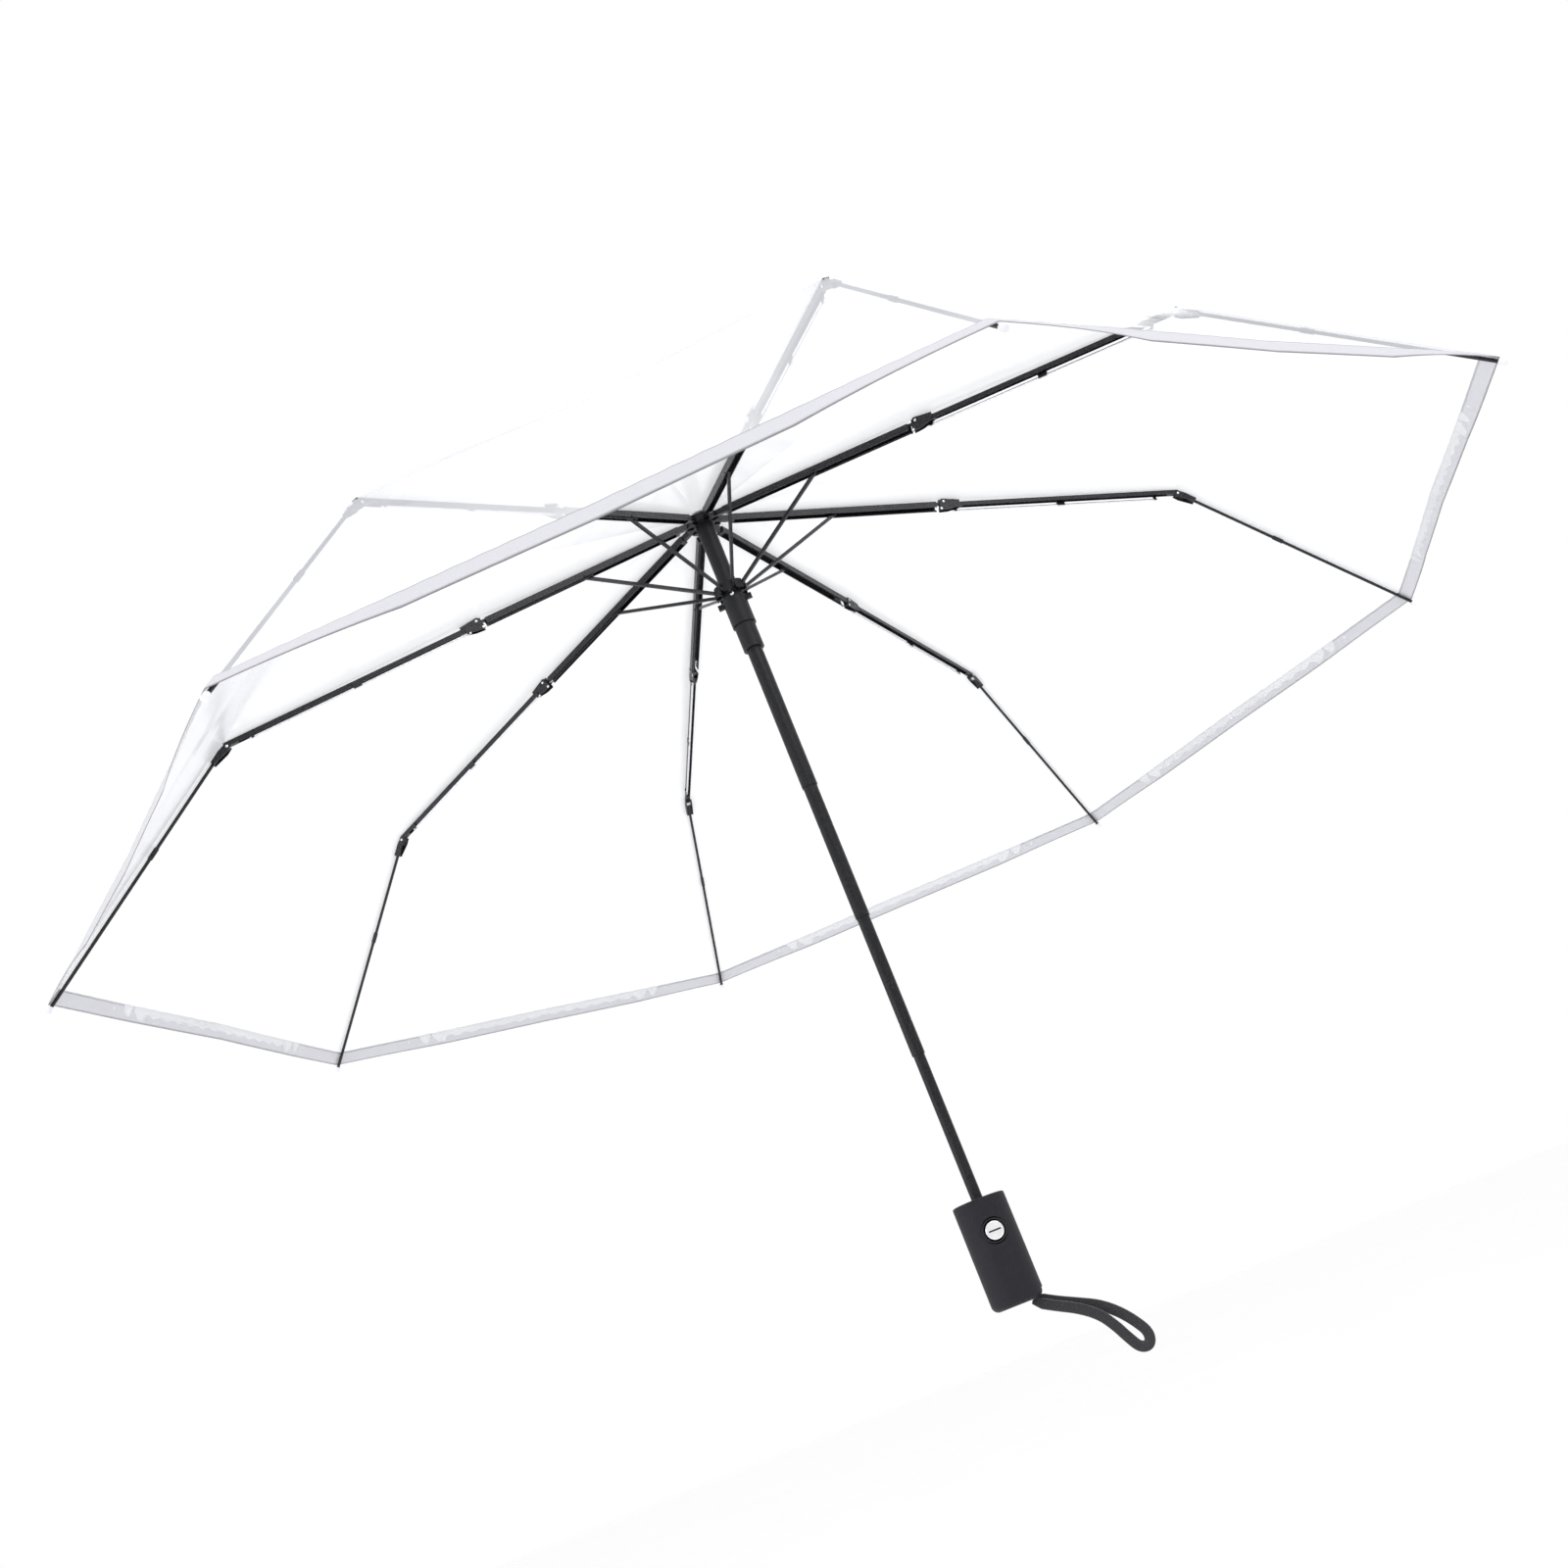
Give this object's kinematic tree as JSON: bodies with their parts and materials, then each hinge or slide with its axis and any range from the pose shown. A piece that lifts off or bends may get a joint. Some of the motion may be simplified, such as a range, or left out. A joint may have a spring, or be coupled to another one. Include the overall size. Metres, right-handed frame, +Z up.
{
  "type": "clear folding umbrella",
  "caption": "Open transparent folding umbrella: faceted film canopy on triple-fold ribs, telescopic shaft with sliding runner, round push-button handle and wrist strap.",
  "frame": {"origin": "centre of the handle's bottom face, at the grip", "axes": "+Z up the shaft to the crown; the push button faces about -Y, and the ribs stand at 22.5 degrees and every 45 degrees from +X"},
  "size_m": [0.9084, 0.9084, 0.6212],
  "materials": {
    "black_metal": "satin black lacquer",
    "shaft_metal": "satin dark grey",
    "black_plastic": "matt moulded",
    "soft_touch": "soft-touch matt",
    "chrome_plate": "polished",
    "spring_steel": "bright wire",
    "clear_film": "clear, slightly milky",
    "pale_tape": "thin woven tape",
    "black_webbing": "soft woven"
  },
  "bodies": {
    "handle": {"handle_grip": "soft_touch", "handle_core": "black_plastic", "handle_end_cap": "soft_touch", "shaft_tube_4": "shaft_metal", "button_spring": "spring_steel", "wrist_strap": "black_webbing"},
    "button": {"push_button": "chrome_plate", "latch_slider": "black_plastic"},
    "tube_3": {"shaft_tube_3": "shaft_metal"},
    "tube_2": {"shaft_tube_2": "shaft_metal"},
    "tube_1": {"shaft_tube_1": "shaft_metal", "crown": "black_plastic", "crown_wire_ring": "spring_steel", "top_cap": "black_plastic", "main_spring": "spring_steel", "canopy": "clear_film", "rim_binding": "pale_tape"},
    "runner": {"runner": "black_plastic", "runner_sleeve": "black_plastic"},
    "inner_rib_1": {"inner_rib_1": "black_metal"},
    "middle_rib_1": {"middle_rib_1": "black_metal"},
    "outer_rib_1": {"outer_rib_1": "black_metal"},
    "stretcher_1": {"stretcher_1": "black_metal"},
    "link_rod_1": {"link_rod_1": "black_metal"},
    "inner_rib_2": {"inner_rib_2": "black_metal"},
    "middle_rib_2": {"middle_rib_2": "black_metal"},
    "outer_rib_2": {"outer_rib_2": "black_metal"},
    "stretcher_2": {"stretcher_2": "black_metal"},
    "link_rod_2": {"link_rod_2": "black_metal"},
    "inner_rib_3": {"inner_rib_3": "black_metal"},
    "middle_rib_3": {"middle_rib_3": "black_metal"},
    "outer_rib_3": {"outer_rib_3": "black_metal"},
    "stretcher_3": {"stretcher_3": "black_metal"},
    "link_rod_3": {"link_rod_3": "black_metal"},
    "inner_rib_4": {"inner_rib_4": "black_metal"},
    "middle_rib_4": {"middle_rib_4": "black_metal"},
    "outer_rib_4": {"outer_rib_4": "black_metal"},
    "stretcher_4": {"stretcher_4": "black_metal"},
    "link_rod_4": {"link_rod_4": "black_metal"},
    "inner_rib_5": {"inner_rib_5": "black_metal"},
    "middle_rib_5": {"middle_rib_5": "black_metal"},
    "outer_rib_5": {"outer_rib_5": "black_metal"},
    "stretcher_5": {"stretcher_5": "black_metal"},
    "link_rod_5": {"link_rod_5": "black_metal"},
    "inner_rib_6": {"inner_rib_6": "black_metal"},
    "middle_rib_6": {"middle_rib_6": "black_metal"},
    "outer_rib_6": {"outer_rib_6": "black_metal"},
    "stretcher_6": {"stretcher_6": "black_metal"},
    "link_rod_6": {"link_rod_6": "black_metal"},
    "inner_rib_7": {"inner_rib_7": "black_metal"},
    "middle_rib_7": {"middle_rib_7": "black_metal"},
    "outer_rib_7": {"outer_rib_7": "black_metal"},
    "stretcher_7": {"stretcher_7": "black_metal"},
    "link_rod_7": {"link_rod_7": "black_metal"},
    "inner_rib_8": {"inner_rib_8": "black_metal"},
    "middle_rib_8": {"middle_rib_8": "black_metal"},
    "outer_rib_8": {"outer_rib_8": "black_metal"},
    "stretcher_8": {"stretcher_8": "black_metal"},
    "link_rod_8": {"link_rod_8": "black_metal"}
  },
  "joints": [
    {"name": "lower_slide", "type": "slide", "parent": "handle", "child": "tube_3", "axis": [0, 0, -1], "range_m": [0, 0.0958]},
    {"name": "middle_slide", "type": "slide", "parent": "tube_3", "child": "tube_2", "axis": [0, 0, -1], "range_m": [0, 0.0958]},
    {"name": "upper_slide", "type": "slide", "parent": "tube_2", "child": "tube_1", "axis": [0, 0, -1], "range_m": [0, 0.0958], "deforming": ["main_spring"]},
    {"name": "runner_slide", "type": "slide", "parent": "tube_1", "child": "runner", "axis": [0, 0, -1], "range_m": [0, 0.1214], "deforming": ["canopy", "rim_binding"]},
    {"name": "button_push", "type": "slide", "parent": "handle", "child": "button", "axis": [-0.2588, 0.9659, 0], "range_m": [0, 0.0023], "stiffness_N_per_m": 600, "springref_m": -0.002, "deforming": ["button_spring"]},
    {"name": "inner_rib_fold_1", "type": "hinge", "parent": "tube_1", "child": "inner_rib_1", "pos_m": [0.0097, 0.00402, 0.565], "axis": [0.3827, -0.9239, 0], "range_deg": [-78.3, 0]},
    {"name": "middle_rib_fold_1", "type": "hinge", "parent": "inner_rib_1", "child": "middle_rib_1", "pos_m": [0.16117, 0.06676, 0.53315], "axis": [0.3827, -0.9239, 0], "range_deg": [0, 180.4]},
    {"name": "outer_rib_fold_1", "type": "hinge", "parent": "middle_rib_1", "child": "outer_rib_1", "pos_m": [0.32391, 0.13417, 0.49129], "axis": [0.3827, -0.9239, 0], "range_deg": [-147.3, 0]},
    {"name": "stretcher_turn_1", "type": "hinge", "parent": "inner_rib_1", "child": "stretcher_1", "pos_m": [0.08683, 0.03596, 0.546], "axis": [0.3827, -0.9239, 0], "range_deg": [0, 144.4]},
    {"name": "link_rod_shift_1", "type": "slide", "parent": "inner_rib_1", "child": "link_rod_1", "axis": [0.9045, 0.3747, -0.2036], "range_m": [0, 0.011]},
    {"name": "inner_rib_fold_2", "type": "hinge", "parent": "tube_1", "child": "inner_rib_2", "pos_m": [0.00402, 0.0097, 0.565], "axis": [0.9239, -0.3827, 0], "range_deg": [-78.3, 0]},
    {"name": "middle_rib_fold_2", "type": "hinge", "parent": "inner_rib_2", "child": "middle_rib_2", "pos_m": [0.06676, 0.16117, 0.53315], "axis": [0.9239, -0.3827, 0], "range_deg": [0, 180.4]},
    {"name": "outer_rib_fold_2", "type": "hinge", "parent": "middle_rib_2", "child": "outer_rib_2", "pos_m": [0.13417, 0.32391, 0.49129], "axis": [0.9239, -0.3827, 0], "range_deg": [-147.3, 0]},
    {"name": "stretcher_turn_2", "type": "hinge", "parent": "inner_rib_2", "child": "stretcher_2", "pos_m": [0.03596, 0.08683, 0.546], "axis": [0.9239, -0.3827, 0], "range_deg": [0, 144.4]},
    {"name": "link_rod_shift_2", "type": "slide", "parent": "inner_rib_2", "child": "link_rod_2", "axis": [0.3747, 0.9045, -0.2036], "range_m": [0, 0.011]},
    {"name": "inner_rib_fold_3", "type": "hinge", "parent": "tube_1", "child": "inner_rib_3", "pos_m": [-0.00402, 0.0097, 0.565], "axis": [0.9239, 0.3827, 0], "range_deg": [-78.3, 0]},
    {"name": "middle_rib_fold_3", "type": "hinge", "parent": "inner_rib_3", "child": "middle_rib_3", "pos_m": [-0.06676, 0.16117, 0.53315], "axis": [0.9239, 0.3827, 0], "range_deg": [0, 180.4]},
    {"name": "outer_rib_fold_3", "type": "hinge", "parent": "middle_rib_3", "child": "outer_rib_3", "pos_m": [-0.13417, 0.32391, 0.49129], "axis": [0.9239, 0.3827, 0], "range_deg": [-147.3, 0]},
    {"name": "stretcher_turn_3", "type": "hinge", "parent": "inner_rib_3", "child": "stretcher_3", "pos_m": [-0.03596, 0.08683, 0.546], "axis": [0.9239, 0.3827, 0], "range_deg": [0, 144.4]},
    {"name": "link_rod_shift_3", "type": "slide", "parent": "inner_rib_3", "child": "link_rod_3", "axis": [-0.3747, 0.9045, -0.2036], "range_m": [0, 0.011]},
    {"name": "inner_rib_fold_4", "type": "hinge", "parent": "tube_1", "child": "inner_rib_4", "pos_m": [-0.0097, 0.00402, 0.565], "axis": [0.3827, 0.9239, 0], "range_deg": [-78.3, 0]},
    {"name": "middle_rib_fold_4", "type": "hinge", "parent": "inner_rib_4", "child": "middle_rib_4", "pos_m": [-0.16117, 0.06676, 0.53315], "axis": [0.3827, 0.9239, 0], "range_deg": [0, 180.4]},
    {"name": "outer_rib_fold_4", "type": "hinge", "parent": "middle_rib_4", "child": "outer_rib_4", "pos_m": [-0.32391, 0.13417, 0.49129], "axis": [0.3827, 0.9239, 0], "range_deg": [-147.3, 0]},
    {"name": "stretcher_turn_4", "type": "hinge", "parent": "inner_rib_4", "child": "stretcher_4", "pos_m": [-0.08683, 0.03596, 0.546], "axis": [0.3827, 0.9239, 0], "range_deg": [0, 144.4]},
    {"name": "link_rod_shift_4", "type": "slide", "parent": "inner_rib_4", "child": "link_rod_4", "axis": [-0.9045, 0.3747, -0.2036], "range_m": [0, 0.011]},
    {"name": "inner_rib_fold_5", "type": "hinge", "parent": "tube_1", "child": "inner_rib_5", "pos_m": [-0.0097, -0.00402, 0.565], "axis": [-0.3827, 0.9239, 0], "range_deg": [-78.3, 0]},
    {"name": "middle_rib_fold_5", "type": "hinge", "parent": "inner_rib_5", "child": "middle_rib_5", "pos_m": [-0.16117, -0.06676, 0.53315], "axis": [-0.3827, 0.9239, 0], "range_deg": [0, 180.4]},
    {"name": "outer_rib_fold_5", "type": "hinge", "parent": "middle_rib_5", "child": "outer_rib_5", "pos_m": [-0.32391, -0.13417, 0.49129], "axis": [-0.3827, 0.9239, 0], "range_deg": [-147.3, 0]},
    {"name": "stretcher_turn_5", "type": "hinge", "parent": "inner_rib_5", "child": "stretcher_5", "pos_m": [-0.08683, -0.03596, 0.546], "axis": [-0.3827, 0.9239, 0], "range_deg": [0, 144.4]},
    {"name": "link_rod_shift_5", "type": "slide", "parent": "inner_rib_5", "child": "link_rod_5", "axis": [-0.9045, -0.3747, -0.2036], "range_m": [0, 0.011]},
    {"name": "inner_rib_fold_6", "type": "hinge", "parent": "tube_1", "child": "inner_rib_6", "pos_m": [-0.00402, -0.0097, 0.565], "axis": [-0.9239, 0.3827, 0], "range_deg": [-78.3, 0]},
    {"name": "middle_rib_fold_6", "type": "hinge", "parent": "inner_rib_6", "child": "middle_rib_6", "pos_m": [-0.06676, -0.16117, 0.53315], "axis": [-0.9239, 0.3827, 0], "range_deg": [0, 180.4]},
    {"name": "outer_rib_fold_6", "type": "hinge", "parent": "middle_rib_6", "child": "outer_rib_6", "pos_m": [-0.13417, -0.32391, 0.49129], "axis": [-0.9239, 0.3827, 0], "range_deg": [-147.3, 0]},
    {"name": "stretcher_turn_6", "type": "hinge", "parent": "inner_rib_6", "child": "stretcher_6", "pos_m": [-0.03596, -0.08683, 0.546], "axis": [-0.9239, 0.3827, 0], "range_deg": [0, 144.4]},
    {"name": "link_rod_shift_6", "type": "slide", "parent": "inner_rib_6", "child": "link_rod_6", "axis": [-0.3747, -0.9045, -0.2036], "range_m": [0, 0.011]},
    {"name": "inner_rib_fold_7", "type": "hinge", "parent": "tube_1", "child": "inner_rib_7", "pos_m": [0.00402, -0.0097, 0.565], "axis": [-0.9239, -0.3827, 0], "range_deg": [-78.3, 0]},
    {"name": "middle_rib_fold_7", "type": "hinge", "parent": "inner_rib_7", "child": "middle_rib_7", "pos_m": [0.06676, -0.16117, 0.53315], "axis": [-0.9239, -0.3827, 0], "range_deg": [0, 180.4]},
    {"name": "outer_rib_fold_7", "type": "hinge", "parent": "middle_rib_7", "child": "outer_rib_7", "pos_m": [0.13417, -0.32391, 0.49129], "axis": [-0.9239, -0.3827, 0], "range_deg": [-147.3, 0]},
    {"name": "stretcher_turn_7", "type": "hinge", "parent": "inner_rib_7", "child": "stretcher_7", "pos_m": [0.03596, -0.08683, 0.546], "axis": [-0.9239, -0.3827, 0], "range_deg": [0, 144.4]},
    {"name": "link_rod_shift_7", "type": "slide", "parent": "inner_rib_7", "child": "link_rod_7", "axis": [0.3747, -0.9045, -0.2036], "range_m": [0, 0.011]},
    {"name": "inner_rib_fold_8", "type": "hinge", "parent": "tube_1", "child": "inner_rib_8", "pos_m": [0.0097, -0.00402, 0.565], "axis": [-0.3827, -0.9239, 0], "range_deg": [-78.3, 0]},
    {"name": "middle_rib_fold_8", "type": "hinge", "parent": "inner_rib_8", "child": "middle_rib_8", "pos_m": [0.16117, -0.06676, 0.53315], "axis": [-0.3827, -0.9239, 0], "range_deg": [0, 180.4]},
    {"name": "outer_rib_fold_8", "type": "hinge", "parent": "middle_rib_8", "child": "outer_rib_8", "pos_m": [0.32391, -0.13417, 0.49129], "axis": [-0.3827, -0.9239, 0], "range_deg": [-147.3, 0]},
    {"name": "stretcher_turn_8", "type": "hinge", "parent": "inner_rib_8", "child": "stretcher_8", "pos_m": [0.08683, -0.03596, 0.546], "axis": [-0.3827, -0.9239, 0], "range_deg": [0, 144.4]},
    {"name": "link_rod_shift_8", "type": "slide", "parent": "inner_rib_8", "child": "link_rod_8", "axis": [0.9045, -0.3747, -0.2036], "range_m": [0, 0.011]}
  ],
  "couplings": [
    {"joint": "middle_slide", "follows": "lower_slide", "ratio": 1},
    {"joint": "upper_slide", "follows": "lower_slide", "ratio": 1},
    {"joint": "inner_rib_fold_1", "follows": "runner_slide", "rad_per_m": -11.25},
    {"joint": "middle_rib_fold_1", "follows": "runner_slide", "rad_per_m": 25.928},
    {"joint": "outer_rib_fold_1", "follows": "runner_slide", "rad_per_m": -21.177},
    {"joint": "stretcher_turn_1", "follows": "runner_slide", "rad_per_m": 20.75},
    {"joint": "link_rod_shift_1", "follows": "runner_slide", "ratio": 0.089786},
    {"joint": "inner_rib_fold_2", "follows": "runner_slide", "rad_per_m": -11.25},
    {"joint": "middle_rib_fold_2", "follows": "runner_slide", "rad_per_m": 25.928},
    {"joint": "outer_rib_fold_2", "follows": "runner_slide", "rad_per_m": -21.177},
    {"joint": "stretcher_turn_2", "follows": "runner_slide", "rad_per_m": 20.75},
    {"joint": "link_rod_shift_2", "follows": "runner_slide", "ratio": 0.089786},
    {"joint": "inner_rib_fold_3", "follows": "runner_slide", "rad_per_m": -11.25},
    {"joint": "middle_rib_fold_3", "follows": "runner_slide", "rad_per_m": 25.928},
    {"joint": "outer_rib_fold_3", "follows": "runner_slide", "rad_per_m": -21.177},
    {"joint": "stretcher_turn_3", "follows": "runner_slide", "rad_per_m": 20.75},
    {"joint": "link_rod_shift_3", "follows": "runner_slide", "ratio": 0.089786},
    {"joint": "inner_rib_fold_4", "follows": "runner_slide", "rad_per_m": -11.25},
    {"joint": "middle_rib_fold_4", "follows": "runner_slide", "rad_per_m": 25.928},
    {"joint": "outer_rib_fold_4", "follows": "runner_slide", "rad_per_m": -21.177},
    {"joint": "stretcher_turn_4", "follows": "runner_slide", "rad_per_m": 20.75},
    {"joint": "link_rod_shift_4", "follows": "runner_slide", "ratio": 0.089786},
    {"joint": "inner_rib_fold_5", "follows": "runner_slide", "rad_per_m": -11.25},
    {"joint": "middle_rib_fold_5", "follows": "runner_slide", "rad_per_m": 25.928},
    {"joint": "outer_rib_fold_5", "follows": "runner_slide", "rad_per_m": -21.177},
    {"joint": "stretcher_turn_5", "follows": "runner_slide", "rad_per_m": 20.75},
    {"joint": "link_rod_shift_5", "follows": "runner_slide", "ratio": 0.089786},
    {"joint": "inner_rib_fold_6", "follows": "runner_slide", "rad_per_m": -11.25},
    {"joint": "middle_rib_fold_6", "follows": "runner_slide", "rad_per_m": 25.928},
    {"joint": "outer_rib_fold_6", "follows": "runner_slide", "rad_per_m": -21.177},
    {"joint": "stretcher_turn_6", "follows": "runner_slide", "rad_per_m": 20.75},
    {"joint": "link_rod_shift_6", "follows": "runner_slide", "ratio": 0.089786},
    {"joint": "inner_rib_fold_7", "follows": "runner_slide", "rad_per_m": -11.25},
    {"joint": "middle_rib_fold_7", "follows": "runner_slide", "rad_per_m": 25.928},
    {"joint": "outer_rib_fold_7", "follows": "runner_slide", "rad_per_m": -21.177},
    {"joint": "stretcher_turn_7", "follows": "runner_slide", "rad_per_m": 20.75},
    {"joint": "link_rod_shift_7", "follows": "runner_slide", "ratio": 0.089786},
    {"joint": "inner_rib_fold_8", "follows": "runner_slide", "rad_per_m": -11.25},
    {"joint": "middle_rib_fold_8", "follows": "runner_slide", "rad_per_m": 25.928},
    {"joint": "outer_rib_fold_8", "follows": "runner_slide", "rad_per_m": -21.177},
    {"joint": "stretcher_turn_8", "follows": "runner_slide", "rad_per_m": 20.75},
    {"joint": "link_rod_shift_8", "follows": "runner_slide", "ratio": 0.089786}
  ]
}
